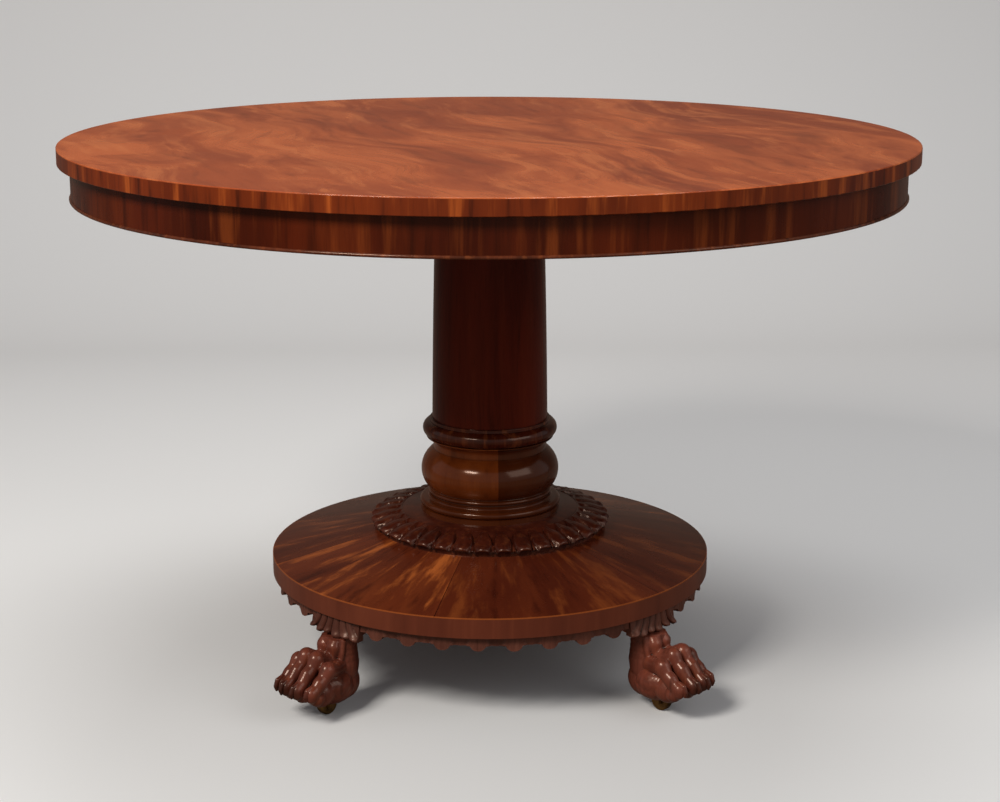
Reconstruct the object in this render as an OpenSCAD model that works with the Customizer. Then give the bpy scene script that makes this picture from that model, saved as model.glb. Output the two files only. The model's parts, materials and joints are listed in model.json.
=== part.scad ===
// Round tilt-top pedestal table: a veneered top with a frieze, hinged on a
// block at the head of a turned column, on a conical platform with a carved
// leaf border and four lion-paw feet over recessed castors.
// Millimetres, +Z up, origin on the floor under the column's axis.

/* [Top] */
// Diameter of the top
top_d = 1150; // [960:1:1400]
// Height of the top face above the floor
table_h = 740; // [610:1:900]
// Thickness of the top's slab, veneer included
slab_t = 21.3; // [17:0.1:26]
// Thickness of every veneer
veneer_t = 1.5; // [0.8:0.1:2.5]
// Rounding of the slab's two arrises
arris_r = 1.2; // [0.5:0.1:1.4]

/* [Frieze] */
// How far the slab overhangs the frieze
overhang = 16; // [8:1:30]
// Height of the frieze below the slab
frieze_h = 49; // [40:1:58]
// Radial thickness of the frieze ring without its veneer
frieze_t = 33.5; // [25:0.5:42]
// Radius of the bead at the frieze's lower edge
bead_r = 2.2; // [1.5:0.1:3]
// Number of glue blocks behind the frieze
glue_block_count = 12; // [8:1:16]

/* [Tilt] */
// Width of the block at the column's head, along the hinge
block_w = 300; // [250:1:360]
// Distance from the column's axis to the block's catch end
block_front = 150; // [120:1:180]
// Thickness of the block, which is also the diameter of its round end
block_t = 42.8; // [36:0.1:45]
// Distance from the column's axis to the hinge
pivot_y = 135; // [125:1:160]
// Radius of the hinge pins
pin_r = 6; // [4:0.5:8]
// Depth of each hinge pin in the block
pin_depth = 40; // [25:1:60]
// Width of each bearer
bearer_w = 40; // [30:1:50]
// Depth of each bearer
bearer_t = 44.5; // [40:0.5:48]
// Gap between a bearer's end and the frieze ring
bearer_end_gap = 18; // [10:1:60]

/* [Catch] */
// Travel of the catch's bolt into the keeper
bolt_travel = 12; // [8:1:14]
// Width of the bolt
bolt_w = 16; // [12:1:20]
// Thickness of the bolt
bolt_t = 8; // [6:0.5:9]
// Length of the bolt
bolt_l = 55; // [44:1:66]

/* [Column] */
// Radius of the shaft at its head
shaft_top_r = 73.5; // [62:0.5:90]
// Radius of the shaft at the collar
shaft_foot_r = 80.6; // [68:0.1:82]
// Radius of the round tenons at both ends of the shaft
tenon_r = 30; // [25:1:40]
// Outer radius of the collar's torus
collar_r = 94; // [88:0.5:104]
// Height of the collar with its fillet
collar_h = 26; // [22:0.5:31]
// Outer radius of the bulb
bulb_r = 96.4; // [90:0.1:106]
// Height of the turned base from the leaf disc to the collar
turning_h = 105.4; // [100:0.1:127]

/* [Leaf disc] */
// Radius of the carved rim
leaf_rim_r = 168.7; // [150:0.1:190]
// Radius of the disc's flat top
leaf_flat_r = 125; // [110:1:140]
// Thickness of the disc above its plain step
leaf_disc_t = 16.6; // [12:0.1:20]
// Number of leaves round the rim
leaf_count = 36; // [24:1:48]

/* [Platform] */
// Diameter of the platform
platform_d = 615; // [540:1:738]
// Height of the platform's underside above the floor
platform_z = 134; // [126:1:160]
// Height of the platform's plain edge
platform_edge_h = 27.4; // [23:0.1:33]
// Rise of the cone from the edge to the leaf disc
platform_rise_h = 33.6; // [28:0.1:40]
// Number of veneer segments on the cone
veneer_segments = 6; // [4:1:12]

/* [Carved border] */
// Radial thickness of the border
border_t = 14; // [10:1:18]
// Depth of the border at its valleys
border_h = 13; // [11:1:16]
// Drop of each pendant below the valleys
pendant_drop = 8; // [6:1:10]
// Pendants between two brackets
pendant_count = 8; // [6:1:10]
// Half angle that a foot's bracket covers
bracket_half_deg = 8.6; // [7.5:0.1:10]
// Depth of each bracket
bracket_h = 29; // [25:0.5:30]

/* [Feet] */
// Height of the paws' soles above the floor
sole_z = 16.5; // [14:0.5:19]
// Radius of the pocket in a paw's sole
pocket_r = 26; // [25:0.5:28]

/* [Castors] */
// Radius of the wheels
wheel_r = 14; // [11.7:0.1:16]
// Width of the wheels
wheel_w = 12; // [9:0.5:13]
// Distance from the swivel to the wheel's axle
castor_trail = 8; // [6:0.5:9]
// Radius of the axles
axle_r = 2.5; // [2:0.1:3]
// Radius of the castor plates
plate_r = 20; // [18:0.5:22]

/* [Hidden] */
$fn = 96;
FEET = [1, 2, 3, 4];

// Fits
glue = 0.05;        // line of glue between two glued faces
run = 0.05;         // radial clearance of a pin in its bore
rest_gap = 0.3;     // between the block and what moves past it
slide_gap = 0.3;    // round the catch's bolt
screw_gap = 0.2;    // round a screw's shank

// Top
top_r = top_d / 2;
underside_z = table_h - slab_t;
core_top_z = table_h - veneer_t - glue;
core_r = top_r - veneer_t - glue;
frieze_r = top_r - overhang;
frieze_z = underside_z - frieze_h;
ring_out_r = frieze_r - veneer_t - glue;
ring_in_r = ring_out_r - frieze_t;
bead_x = frieze_r + glue;

// Tilt
nose_r = block_t / 2;
pivot_z = underside_z - rest_gap - nose_r;
block_z = pivot_z - nose_r;
bearer_x = block_w / 2 + rest_gap;
bearer_z = underside_z - bearer_t;
bearer_l = sqrt(pow(ring_in_r, 2) - pow(bearer_x + bearer_w, 2)) - bearer_end_gap;
bearer_taper = 120;
pin_head_r = pin_r + 4;
pin_head_t = 3;
bearer_screw_y = [-0.86, -0.4, 0.12, 0.86];

// Catch
bolt_nose_gap = 2.5;
keeper_t = 2;
keeper_w = 44;
keeper_h = 22;
bolt_z = underside_z - 11.3;
bolt_y = -block_front - bolt_nose_gap;
case_wall = 2.7;
case_y = bolt_y - 3.5;
case_l = bolt_l + 1;
case_w = bolt_w + 2 * slide_gap + 2 * case_wall;
flange_w = case_w + 30;
flange_t = 2.5;
knob_r = 7;
knob_stem_r = 3;
knob_y = bolt_y - bolt_l / 2;

// Column, from the floor up
cone_z = platform_z + platform_edge_h;
platform_r = platform_d / 2;
disc_r = leaf_rim_r - 8.7;
cone_slope = platform_rise_h / (platform_r - disc_r - 1);
veneer_drop = veneer_t * sqrt(1 + pow(cone_slope, 2));
seat_z = cone_z + (platform_r - disc_r) * cone_slope - veneer_drop - glue;
rim_z = seat_z + 8.6;
disc_top_z = rim_z + leaf_disc_t;
collar_z = disc_top_z + turning_h;
collar_top_z = collar_z + collar_h;
journal_r = shaft_foot_r - 10.6;
wedge_l = 26;
wedge_t = 5;

// Feet and castors
foot_az = [for (n = FEET) 90 * n - 45];
board_h = platform_edge_h - 3.5;
border_r = platform_r - 7.5;
bracket_r = platform_r + 0.5;
bracket_in_r = border_r - 8;
ankle_z = platform_z - bracket_h - rest_gap;
foot_x = platform_r - 17.5;
castor_x = foot_x + 18;
spigot_r = 20;
spigot_x = bracket_in_r - spigot_r - 2;
dowel_r = 8;
dowel_l = 44;
dowel_z = platform_z - 24;
pocket_z = 38.5;
plate_t = 3;
fork_t = 3.2;
fork_top_z = pocket_z - plate_t - rest_gap;
fork_r = 12;
cheek_t = 2.2;
cheek_gap = 0.4;
cheek_y = wheel_w / 2 + cheek_gap;
rivet_r = 4;
castor_screw_x = 15.8;

// A round screw pointing up +Z from its head's lower face
module screw(head_r, head_t, shank_r, shank_l) {
    cylinder(r = head_r, h = head_t);
    translate([0, 0, head_t]) cylinder(r = shank_r, h = shank_l - shank_r);
    translate([0, 0, head_t + shank_l - shank_r]) cylinder(r1 = shank_r, r2 = 0.2, h = shank_r);
}

// A flat ring between two radii
module ring(r_in, r_out, z, h) {
    rotate_extrude()
        translate([r_in, z]) square([r_out - r_in, h]);
}

// Places its children at each foot's azimuth
module at_foot(n) {
    rotate([0, 0, foot_az[n - 1]]) children();
}

// Places its children at the bearer screws of both bearers
module at_bearer_screws() {
    for (side = [-1, 1])
        for (share = bearer_screw_y)
            translate([side * (bearer_x + bearer_w / 2), share * bearer_l, 0]) children();
}

// Places its children at the catch's four screws
module at_catch_screws() {
    for (side = [-1, 1])
        for (end = [8, case_l - 8])
            translate([side * (case_w / 2 + 7.5), case_y - end, 0]) children();
}

// Places its children at the three screws of a castor plate
module at_plate_screws() {
    for (turn = [0, 120, 240])
        translate([castor_x, 0, 0]) rotate([0, 0, turn + 60])
            translate([castor_screw_x, 0, 0]) children();
}

module top_board() {
    color("saddlebrown") difference() {
        translate([0, 0, underside_z]) cylinder(r = core_r, h = core_top_z - underside_z, $fn = 180);
        at_bearer_screws() translate([0, 0, underside_z - 1]) cylinder(r = 2.4, h = 13);
        at_catch_screws() translate([0, 0, underside_z - 1]) cylinder(r = 1.8, h = 11);
    }
}

module top_veneer() {
    color("sienna") rotate_extrude($fn = 180) intersection() {
        union() {
            translate([0, table_h - 2 * arris_r]) square([top_r - arris_r, 2 * arris_r]);
            translate([0, table_h - 2 * arris_r]) square([top_r, arris_r]);
            translate([top_r - arris_r, table_h - arris_r]) circle(r = arris_r, $fn = 32);
        }
        translate([0, table_h - veneer_t]) square([top_r, veneer_t]);
    }
}

module edge_banding() {
    band_h = core_top_z - underside_z;
    color("peru") rotate_extrude($fn = 180) intersection() {
        union() {
            translate([top_r - 2 * arris_r, underside_z + arris_r]) square([2 * arris_r, band_h]);
            translate([top_r - 2 * arris_r, underside_z]) square([arris_r, band_h]);
            translate([top_r - arris_r, underside_z + arris_r]) circle(r = arris_r, $fn = 32);
        }
        translate([top_r - veneer_t, underside_z]) square([veneer_t, band_h]);
    }
}

module frieze_ring() {
    color("saddlebrown") ring(ring_in_r, ring_out_r, frieze_z, frieze_h);
}

module frieze_veneer() {
    color("sienna") ring(frieze_r - veneer_t, frieze_r, frieze_z, frieze_h);
}

// Half-round bead glued round the frieze's lower edge
module frieze_bead() {
    color("sienna") rotate_extrude($fn = 180)
        intersection() {
            translate([bead_x, frieze_z + bead_r]) circle(r = bead_r, $fn = 32);
            translate([bead_x, frieze_z]) square([bead_r, 2 * bead_r]);
        }
}

// Bearer's side outline, tapered towards both ends
module bearer_outline() {
    polygon([
        [-bearer_l, underside_z],
        [bearer_l, underside_z],
        [bearer_l, bearer_z + 24],
        [bearer_l - 14, bearer_z + 20],
        [bearer_l - bearer_taper, bearer_z],
        [bearer_taper - bearer_l, bearer_z],
        [14 - bearer_l, bearer_z + 20],
        [-bearer_l, bearer_z + 24]
    ]);
}

module bearer(side) {
    x = side > 0 ? bearer_x : -bearer_x - bearer_w;
    color("brown") difference() {
        translate([x, 0, 0]) rotate([90, 0, 90]) linear_extrude(bearer_w) bearer_outline();
        translate([x - 1, pivot_y, pivot_z]) rotate([0, 90, 0]) cylinder(r = pin_r + run, h = bearer_w + 2);
        at_bearer_screws() translate([0, 0, bearer_z - 1]) cylinder(r = 5.6, h = 25.4);
        at_bearer_screws() translate([0, 0, bearer_z]) cylinder(r = 2.4, h = bearer_t + 1);
    }
}

module bearer_left() { bearer(-1); }

module bearer_right() { bearer(1); }

module bearer_screws() {
    color("dimgray") at_bearer_screws()
        translate([0, 0, bearer_z + 21]) screw(4.6, 3.2, 2.2, bearer_t - 24.4 + 11);
}

module glue_blocks() {
    block_l = 40;
    block_s = 18;
    out_x = sqrt(pow(ring_in_r - 0.1, 2) - pow(block_l / 2, 2));
    color("saddlebrown") for (i = [0:glue_block_count - 1])
        rotate([0, 0, (i + 0.5) * 360 / glue_block_count])
            translate([out_x - block_s, -block_l / 2, underside_z - block_s])
                cube([block_s, block_l, block_s]);
}

// Brass case under the top that the bolt slides in
module catch_case() {
    channel_w = bolt_w + 2 * slide_gap;
    channel_t = bolt_t + 2 * slide_gap;
    case_z = bolt_z - channel_t / 2 - case_wall;
    color("goldenrod") difference() {
        union() {
            translate([-case_w / 2, case_y - case_l, case_z]) cube([case_w, case_l, underside_z - case_z]);
            translate([-flange_w / 2, case_y - case_l, underside_z - flange_t])
                cube([flange_w, case_l, flange_t]);
        }
        translate([-channel_w / 2, case_y - case_l - 1, bolt_z - channel_t / 2])
            cube([channel_w, case_l + 2, channel_t]);
        translate([-knob_stem_r - slide_gap, knob_y - knob_stem_r - slide_gap, case_z - 1])
            cube([2 * knob_stem_r + 2 * slide_gap, 2 * knob_stem_r + 2 * slide_gap + bolt_travel, 6]);
        at_catch_screws() translate([0, 0, underside_z - flange_t - 1]) cylinder(r = 1.8, h = flange_t + 2);
        at_catch_screws() translate([0, 0, underside_z - flange_t - 1]) cylinder(r = 3.2, h = 2.2);
    }
}

module catch_screws() {
    color("goldenrod") at_catch_screws()
        translate([0, 0, underside_z - flange_t + 0.1]) screw(3, 1.1, 1.6, 9.5);
}

module catch_bolt() {
    stem_l = 13;
    color("gold") {
        translate([-bolt_w / 2, bolt_y - bolt_l, bolt_z - bolt_t / 2]) cube([bolt_w, bolt_l, bolt_t]);
        translate([0, knob_y, bolt_z - bolt_t / 2 - stem_l]) cylinder(r = knob_stem_r, h = stem_l + 1);
        translate([0, knob_y, bolt_z - bolt_t / 2 - stem_l]) cylinder(r = knob_r, h = 4);
    }
}

module at_keeper_screws() {
    for (side = [-1, 1])
        translate([side * (keeper_w / 2 - 5), -block_front, bolt_z - 1.5]) rotate([-90, 0, 0]) children();
}

module catch_keeper() {
    slot_w = bolt_w + 2;
    slot_t = bolt_t + 2;
    color("goldenrod") difference() {
        translate([-keeper_w / 2, -block_front, bolt_z - 1.5 - keeper_h / 2])
            cube([keeper_w, keeper_t, keeper_h - 3]);
        translate([-slot_w / 2, -block_front - 1, bolt_z - slot_t / 2]) cube([slot_w, keeper_t + 2, slot_t]);
        at_keeper_screws() translate([0, 0, -1]) cylinder(r = 1.7, h = keeper_t + 2);
    }
}

module keeper_screws() {
    color("goldenrod") at_keeper_screws() translate([0, 0, 0.2]) cylinder(r = 1.5, h = 14);
}

// Block that the top rests on and turns about
module block() {
    color("brown") difference() {
        union() {
            translate([-block_w / 2, -block_front, block_z]) cube([block_w, block_front + pivot_y, block_t]);
            translate([-block_w / 2, pivot_y, pivot_z]) rotate([0, 90, 0]) cylinder(r = nose_r, h = block_w);
        }
        translate([0, 0, block_z - 1]) cylinder(r = tenon_r + glue, h = block_t + 2);
        for (side = [-1, 1])
            translate([side * block_w / 2, pivot_y, pivot_z]) rotate([0, side * 90, 0])
                translate([0, 0, -pin_depth]) cylinder(r = pin_r + run, h = pin_depth + 1);
        translate([-keeper_w / 2 - glue, -block_front - 1, bolt_z - 1.5 - keeper_h / 2 - glue])
            cube([keeper_w + 2 * glue, keeper_t + 1 + glue, keeper_h - 3 + 2 * glue]);
        translate([-bolt_w / 2 - 1, -block_front - 1, bolt_z - bolt_t / 2 - 1])
            cube([bolt_w + 2, bolt_travel + 4, bolt_t + 2]);
        at_keeper_screws() cylinder(r = 1.7, h = 15);
    }
}

module pivot_pin(side) {
    shank = pin_depth + rest_gap + bearer_w + rest_gap - 1;
    color("goldenrod") translate([side * (bearer_x + bearer_w + rest_gap), pivot_y, pivot_z])
        rotate([0, side * 90, 0]) {
            cylinder(r = pin_head_r, h = pin_head_t);
            translate([0, 0, -shank]) cylinder(r = pin_r, h = shank + 1);
        }
}

module pivot_pin_left() { pivot_pin(-1); }

module pivot_pin_right() { pivot_pin(1); }

// Turned shaft with a round tenon at each end and a slot for each wedge
module column_shaft() {
    head_z = block_z;
    tenon_top = block_z + block_t;
    color("brown") difference() {
        rotate_extrude() polygon([
            [0, platform_z],
            [tenon_r, platform_z],
            [tenon_r, collar_z + glue],
            [journal_r, collar_z + glue],
            [journal_r, collar_top_z + glue],
            [shaft_foot_r, collar_top_z + glue],
            [shaft_top_r, head_z - glue],
            [tenon_r, head_z - glue],
            [tenon_r, tenon_top],
            [0, tenon_top]
        ]);
        translate([-tenon_r - 1, -wedge_t / 2, tenon_top - wedge_l]) cube([2 * tenon_r + 2, wedge_t, wedge_l + 1]);
        translate([-tenon_r - 1, -wedge_t / 2, platform_z - 1]) cube([2 * tenon_r + 2, wedge_t, wedge_l + 1]);
    }
}

// Two tapered wedges, one in each tenon
module tenon_wedges() {
    half = wedge_t / 2 - glue;
    side_l = sqrt(pow(tenon_r, 2) - pow(half, 2)) - glue;
    color("tan") {
        translate([-side_l, 0, block_z + block_t]) rotate([90, 0, 90]) linear_extrude(2 * side_l)
            polygon([[-half, 0], [half, 0], [half / 2, 2 - wedge_l], [-half / 2, 2 - wedge_l]]);
        translate([-side_l, 0, platform_z]) rotate([90, 0, 90]) linear_extrude(2 * side_l)
            polygon([[-half, 0], [half, 0], [half / 2, wedge_l - 2], [-half / 2, wedge_l - 2]]);
    }
}

// Torus with a fillet on top, slipped over the shaft's foot
module collar_ring() {
    bore_r = journal_r + glue;
    torus_r = 11 * collar_h / 26;
    mid_r = collar_r - torus_r;
    color("brown") rotate_extrude() {
        translate([mid_r, collar_z + torus_r]) circle(r = torus_r);
        translate([bore_r, collar_z]) square([mid_r - bore_r, 2 * torus_r]);
        translate([bore_r, collar_z + torus_r]) square([collar_r - 10 - bore_r, collar_h - torus_r]);
    }
}

// Turned base: torus, astragal, bulb and hollow neck
module column_base() {
    bulb_arc = 36;
    neck_r = bulb_r - 17;
    hollow = 10.5;
    z = disc_top_z;
    color("chocolate") rotate_extrude() difference() {
        union() {
            translate([0, z]) square([bulb_r + 1.1, 7.4]);
            translate([0, z + 7.4]) square([bulb_r - 2.6, 10]);
            translate([bulb_r - 2.6, z + 12.4]) circle(r = 5);
            translate([0, z + 17]) square([bulb_r - 12.4, 20]);
            translate([0, z + 20.4]) square([bulb_r - 9.9, 2.2]);
            translate([bulb_r - 12.9, z + 27]) circle(r = 3);
            translate([bulb_r - bulb_arc, z + 57.4]) circle(r = bulb_arc);
            translate([0, z + 30]) square([bulb_r - bulb_arc, 60]);
            translate([0, z + 80]) square([neck_r, turning_h - 80]);
            translate([0, z + turning_h - hollow]) square([neck_r + hollow - 1, hollow]);
        }
        translate([neck_r + hollow, z + turning_h - hollow - 0.5]) circle(r = hollow);
        square([tenon_r + glue, z + turning_h + 1]);
    }
}

// Disc with a sloping rim, fluted between the leaves
module leaf_disc() {
    fall = rim_z + 3 - disc_top_z;
    run_out = leaf_rim_r - leaf_flat_r;
    tilt = atan2(fall, run_out);
    color("brown") difference() {
        rotate_extrude() polygon([
            [tenon_r + glue, seat_z + glue],
            [disc_r, seat_z + glue],
            [disc_r, rim_z],
            [leaf_rim_r - 3, rim_z],
            [leaf_rim_r, rim_z + 3],
            [leaf_rim_r - 6, rim_z + 6],
            [leaf_flat_r + 8, disc_top_z - 1],
            [leaf_flat_r, disc_top_z],
            [tenon_r + glue, disc_top_z]
        ]);
        for (i = [0:leaf_count - 1])
            rotate([0, 0, (i + 0.5) * 360 / leaf_count])
                translate([leaf_flat_r + 6, 0, disc_top_z + 1.2]) rotate([0, 90 - tilt, 0])
                    cylinder(r1 = 1.2, r2 = 3.4, h = 48, $fn = 24);
    }
}

// Board that carries the column, the cone and the feet
module platform_board() {
    color("saddlebrown") difference() {
        translate([0, 0, platform_z]) cylinder(r = platform_r - veneer_t - glue, h = board_h, $fn = 180);
        translate([0, 0, platform_z - 1]) cylinder(r = tenon_r + glue, h = board_h + 2);
        for (n = FEET)
            at_foot(n) translate([spigot_x, 0, platform_z - 1]) cylinder(r = dowel_r + glue, h = board_h - 2);
    }
}

// Conical core on the board, under the veneers
module platform_rise() {
    out_r = platform_r - veneer_t - glue;
    low_z = cone_z + (platform_r - out_r) * cone_slope - veneer_drop - glue;
    color("saddlebrown") rotate_extrude($fn = 180) polygon([
        [tenon_r + glue, platform_z + board_h + glue],
        [out_r, platform_z + board_h + glue],
        [out_r, low_z],
        [disc_r, seat_z],
        [tenon_r + glue, seat_z]
    ]);
}

// Radial veneer segments laid on the cone
module platform_veneers() {
    in_r = disc_r + glue;
    in_z = cone_z + (platform_r - in_r) * cone_slope;
    sweep = 360 / veneer_segments - 0.04;
    color("peru") for (i = [0:veneer_segments - 1])
        rotate([0, 0, 15 + i * 360 / veneer_segments]) rotate_extrude(angle = sweep, $fn = 180) polygon([
            [in_r, in_z - veneer_drop],
            [platform_r, cone_z - veneer_drop],
            [platform_r, cone_z],
            [in_r, in_z]
        ]);
}

module platform_edge_band() {
    band_top = platform_edge_h - veneer_drop - glue;
    color("peru") ring(platform_r - veneer_t, platform_r, platform_z, band_top);
}

// Scalloped border under the platform's edge, between two brackets
module leaf_border(n) {
    start = foot_az[n - 1] + bracket_half_deg + 0.1;
    sweep = 90 - 2 * bracket_half_deg - 0.2;
    pitch = 90 / (pendant_count + 2);
    pendant_r = 10.4;
    low_z = platform_z - border_h;
    mid_z = low_z + pendant_r - pendant_drop;
    color("brown") {
        rotate([0, 0, start]) rotate_extrude(angle = sweep, $fn = 180)
            translate([border_r - border_t, low_z]) square([border_t, border_h]);
        intersection() {
            rotate([0, 0, start]) rotate_extrude(angle = sweep, $fn = 180)
                translate([border_r - border_t, low_z - pendant_drop]) square([border_t, border_h]);
            union() for (i = [0:pendant_count - 1])
                rotate([0, 0, foot_az[n - 1] + (i + 1.5) * pitch])
                    translate([border_r - border_t - 5, 0, mid_z]) rotate([0, 90, 0])
                        cylinder(r = pendant_r, h = border_t + 10, $fn = 48);
        }
    }
}

// Carved leaf bracket over a foot
module foot_bracket(n) {
    deep = bracket_r - bracket_in_r;
    color("brown") at_foot(n) difference() {
        rotate([0, 0, -bracket_half_deg]) rotate_extrude(angle = 2 * bracket_half_deg, $fn = 180)
            translate([bracket_in_r, platform_z - bracket_h]) square([deep, bracket_h]);
        for (i = [-3:3])
            rotate([0, 0, i * bracket_half_deg / 3.5])
                translate([bracket_r + 2.2, 0, platform_z - bracket_h - 1]) cylinder(r = 3.4, h = bracket_h + 2);
    }
}

// A share of the paw's height, from its sole to its ankle
function paw_level(share) = sole_z + share * (ankle_z - sole_z);

// One tapered finger between two balls
module limb(a, b, r_a, r_b) {
    hull() {
        translate(a) sphere(r = r_a, $fn = 16);
        translate(b) sphere(r = r_b, $fn = 16);
    }
}

// Toe from the instep over its knuckle to the raised pad that bears the claw
module toe(y, outer) {
    instep = [foot_x + 18, y * 0.55, paw_level(outer ? 0.68 : 0.77)];
    knuckle = [foot_x + (outer ? 48 : 51), y * 0.98, paw_level(outer ? 0.65 : 0.78)];
    joint = [foot_x + (outer ? 62 : 67), y, paw_level(outer ? 0.5 : 0.6)];
    pad = [foot_x + (outer ? 77 : 86), y, paw_level(outer ? 0.38 : 0.4)];
    limb(instep, knuckle, 14, 11.3);
    limb(knuckle, joint, 11.3, 9.4);
    limb(joint, pad, 9.4, 10.3);
}

// Lion's paw with its ankle under the bracket and a castor pocket in its sole
module paw_foot(n) {
    heel_r = 26;
    color("brown") at_foot(n) difference() {
        union() {
            hull() {
                translate([foot_x, 0, sole_z + heel_r + 1]) sphere(r = heel_r, $fn = 24);
                translate([foot_x + 1, 0, ankle_z - 4]) cylinder(r = 24.5, h = 4, $fn = 32);
            }
            hull() {
                translate([foot_x, 0, sole_z + heel_r + 1]) sphere(r = heel_r, $fn = 24);
                for (side = [-1, 1]) {
                    translate([foot_x + 32, side * 12, sole_z + 27]) sphere(r = 24.5, $fn = 24);
                    translate([foot_x + 51, side * 15, sole_z + 28]) sphere(r = 20, $fn = 24);
                }
            }
            for (side = [-1, 1]) {
                toe(side * 28.5, true);
                toe(side * 9.8, false);
                translate([foot_x + 17, side * 8.5, ankle_z - 10]) sphere(r = 9.6, $fn = 16);
            }
            translate([spigot_x, 0, ankle_z - 8]) cylinder(r = spigot_r, h = platform_z - ankle_z + 8, $fn = 48);
        }
        translate([castor_x, 0, -1]) cylinder(r = pocket_r, h = pocket_z + 1, $fn = 64);
        translate([castor_x - 100, -100, -50]) cube([250, 200, 50 + sole_z]);
        translate([spigot_x, 0, dowel_z]) cylinder(r = dowel_r + rest_gap, h = 60, $fn = 48);
        at_plate_screws() translate([0, 0, pocket_z - 1]) cylinder(r = 1.8 + screw_gap, h = 15, $fn = 24);
    }
}

module foot_dowels() {
    length = min(dowel_l, platform_z + board_h - 4 - dowel_z);
    color("tan") for (n = FEET)
        at_foot(n) translate([spigot_x, 0, dowel_z + 0.2]) cylinder(r = dowel_r, h = length);
}

// Brass plate in the pocket, with the pin that the fork turns on
module castor_plate(n) {
    rivet_z = fork_top_z - fork_t - rest_gap;
    color("goldenrod") at_foot(n) difference() {
        translate([castor_x, 0, 0]) {
            translate([0, 0, pocket_z - plate_t]) cylinder(r = plate_r, h = plate_t);
            translate([0, 0, rivet_z - 1]) cylinder(r = rivet_r, h = pocket_z - rivet_z);
            translate([0, 0, rivet_z - 1.6]) cylinder(r = rivet_r + 2.5, h = 1.6);
        }
        at_plate_screws() translate([0, 0, pocket_z - plate_t - 1]) cylinder(r = 2, h = plate_t + 2);
        at_plate_screws() translate([0, 0, pocket_z - plate_t - 1]) cylinder(r = 3.4, h = 2.5);
    }
}

module castor_screws() {
    color("goldenrod") for (n = FEET)
        at_foot(n) at_plate_screws() translate([0, 0, pocket_z - plate_t + 0.1]) screw(3.2, 1.4, 1.8, 13);
}

// Horn of a castor: a disc on the pin and two cheeks round the wheel
module castor_fork(n) {
    color("goldenrod") at_foot(n) translate([castor_x, 0, 0]) difference() {
        union() {
            translate([0, 0, fork_top_z - fork_t]) cylinder(r = fork_r, h = fork_t);
            for (side = [-1, 1])
                translate([0, side * (cheek_y + cheek_t / 2) + cheek_t / 2, 0]) rotate([90, 0, 0])
                    linear_extrude(cheek_t) {
                        polygon([
                            [-7, fork_top_z],
                            [9, fork_top_z],
                            [castor_trail + 5.5, wheel_r],
                            [castor_trail - 5.5, wheel_r]
                        ]);
                        translate([castor_trail, wheel_r]) circle(r = 5.5);
                    }
        }
        translate([0, 0, fork_top_z - fork_t - 1]) cylinder(r = rivet_r + run, h = fork_t + 2);
        translate([castor_trail, -20, wheel_r]) rotate([-90, 0, 0]) cylinder(r = axle_r + run, h = 40);
        translate([0, 0, fork_top_z - fork_t - 5]) cylinder(r = rivet_r + 3, h = 5);
    }
}

module castor_axle(n) {
    half_l = cheek_y + cheek_t + 0.2;
    color("darkgoldenrod") at_foot(n) translate([castor_x + castor_trail, 0, wheel_r]) {
        translate([0, -half_l, 0]) rotate([-90, 0, 0]) cylinder(r = axle_r, h = 2 * half_l);
        for (side = [-1, 1])
            translate([0, side * (half_l + 0.5), 0]) rotate([90, 0, 0]) cylinder(r = 4, h = 1, center = true);
    }
}

module castor_wheel(n) {
    color("gold") at_foot(n) translate([castor_x + castor_trail, 0, wheel_r]) rotate([90, 0, 0])
        rotate_extrude() polygon([
            [axle_r + run, -wheel_w / 2],
            [wheel_r - 2, -wheel_w / 2],
            [wheel_r - 0.6, 0.8 - wheel_w / 2],
            [wheel_r, 2.4 - wheel_w / 2],
            [wheel_r, wheel_w / 2 - 2.4],
            [wheel_r - 0.6, wheel_w / 2 - 0.8],
            [wheel_r - 2, wheel_w / 2],
            [axle_r + run, wheel_w / 2]
        ]);
}

top_board();
top_veneer();
edge_banding();
frieze_ring();
frieze_veneer();
frieze_bead();
bearer_left();
bearer_right();
bearer_screws();
glue_blocks();
catch_case();
catch_screws();
catch_bolt();
catch_keeper();
keeper_screws();
block();
pivot_pin_left();
pivot_pin_right();
column_shaft();
tenon_wedges();
collar_ring();
column_base();
leaf_disc();
platform_board();
platform_rise();
platform_veneers();
platform_edge_band();
for (n = FEET) {
    leaf_border(n);
    foot_bracket(n);
    paw_foot(n);
    castor_plate(n);
    castor_fork(n);
    castor_axle(n);
    castor_wheel(n);
}
foot_dowels();
castor_screws();
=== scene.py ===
import json
import math
import bmesh
import bpy
from mathutils import Matrix, Vector, noise


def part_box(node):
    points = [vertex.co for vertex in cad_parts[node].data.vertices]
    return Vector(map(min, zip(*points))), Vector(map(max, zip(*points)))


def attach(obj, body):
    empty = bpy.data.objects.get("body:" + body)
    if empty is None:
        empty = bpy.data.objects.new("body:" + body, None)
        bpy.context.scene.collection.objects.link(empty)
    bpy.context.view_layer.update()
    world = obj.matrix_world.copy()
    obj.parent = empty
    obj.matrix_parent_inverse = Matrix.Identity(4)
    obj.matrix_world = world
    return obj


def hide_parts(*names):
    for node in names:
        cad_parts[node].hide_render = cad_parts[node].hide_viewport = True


# Round tilt-top pedestal table in polished mahogany. Metres, +Z up, origin on the floor under the column.

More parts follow.
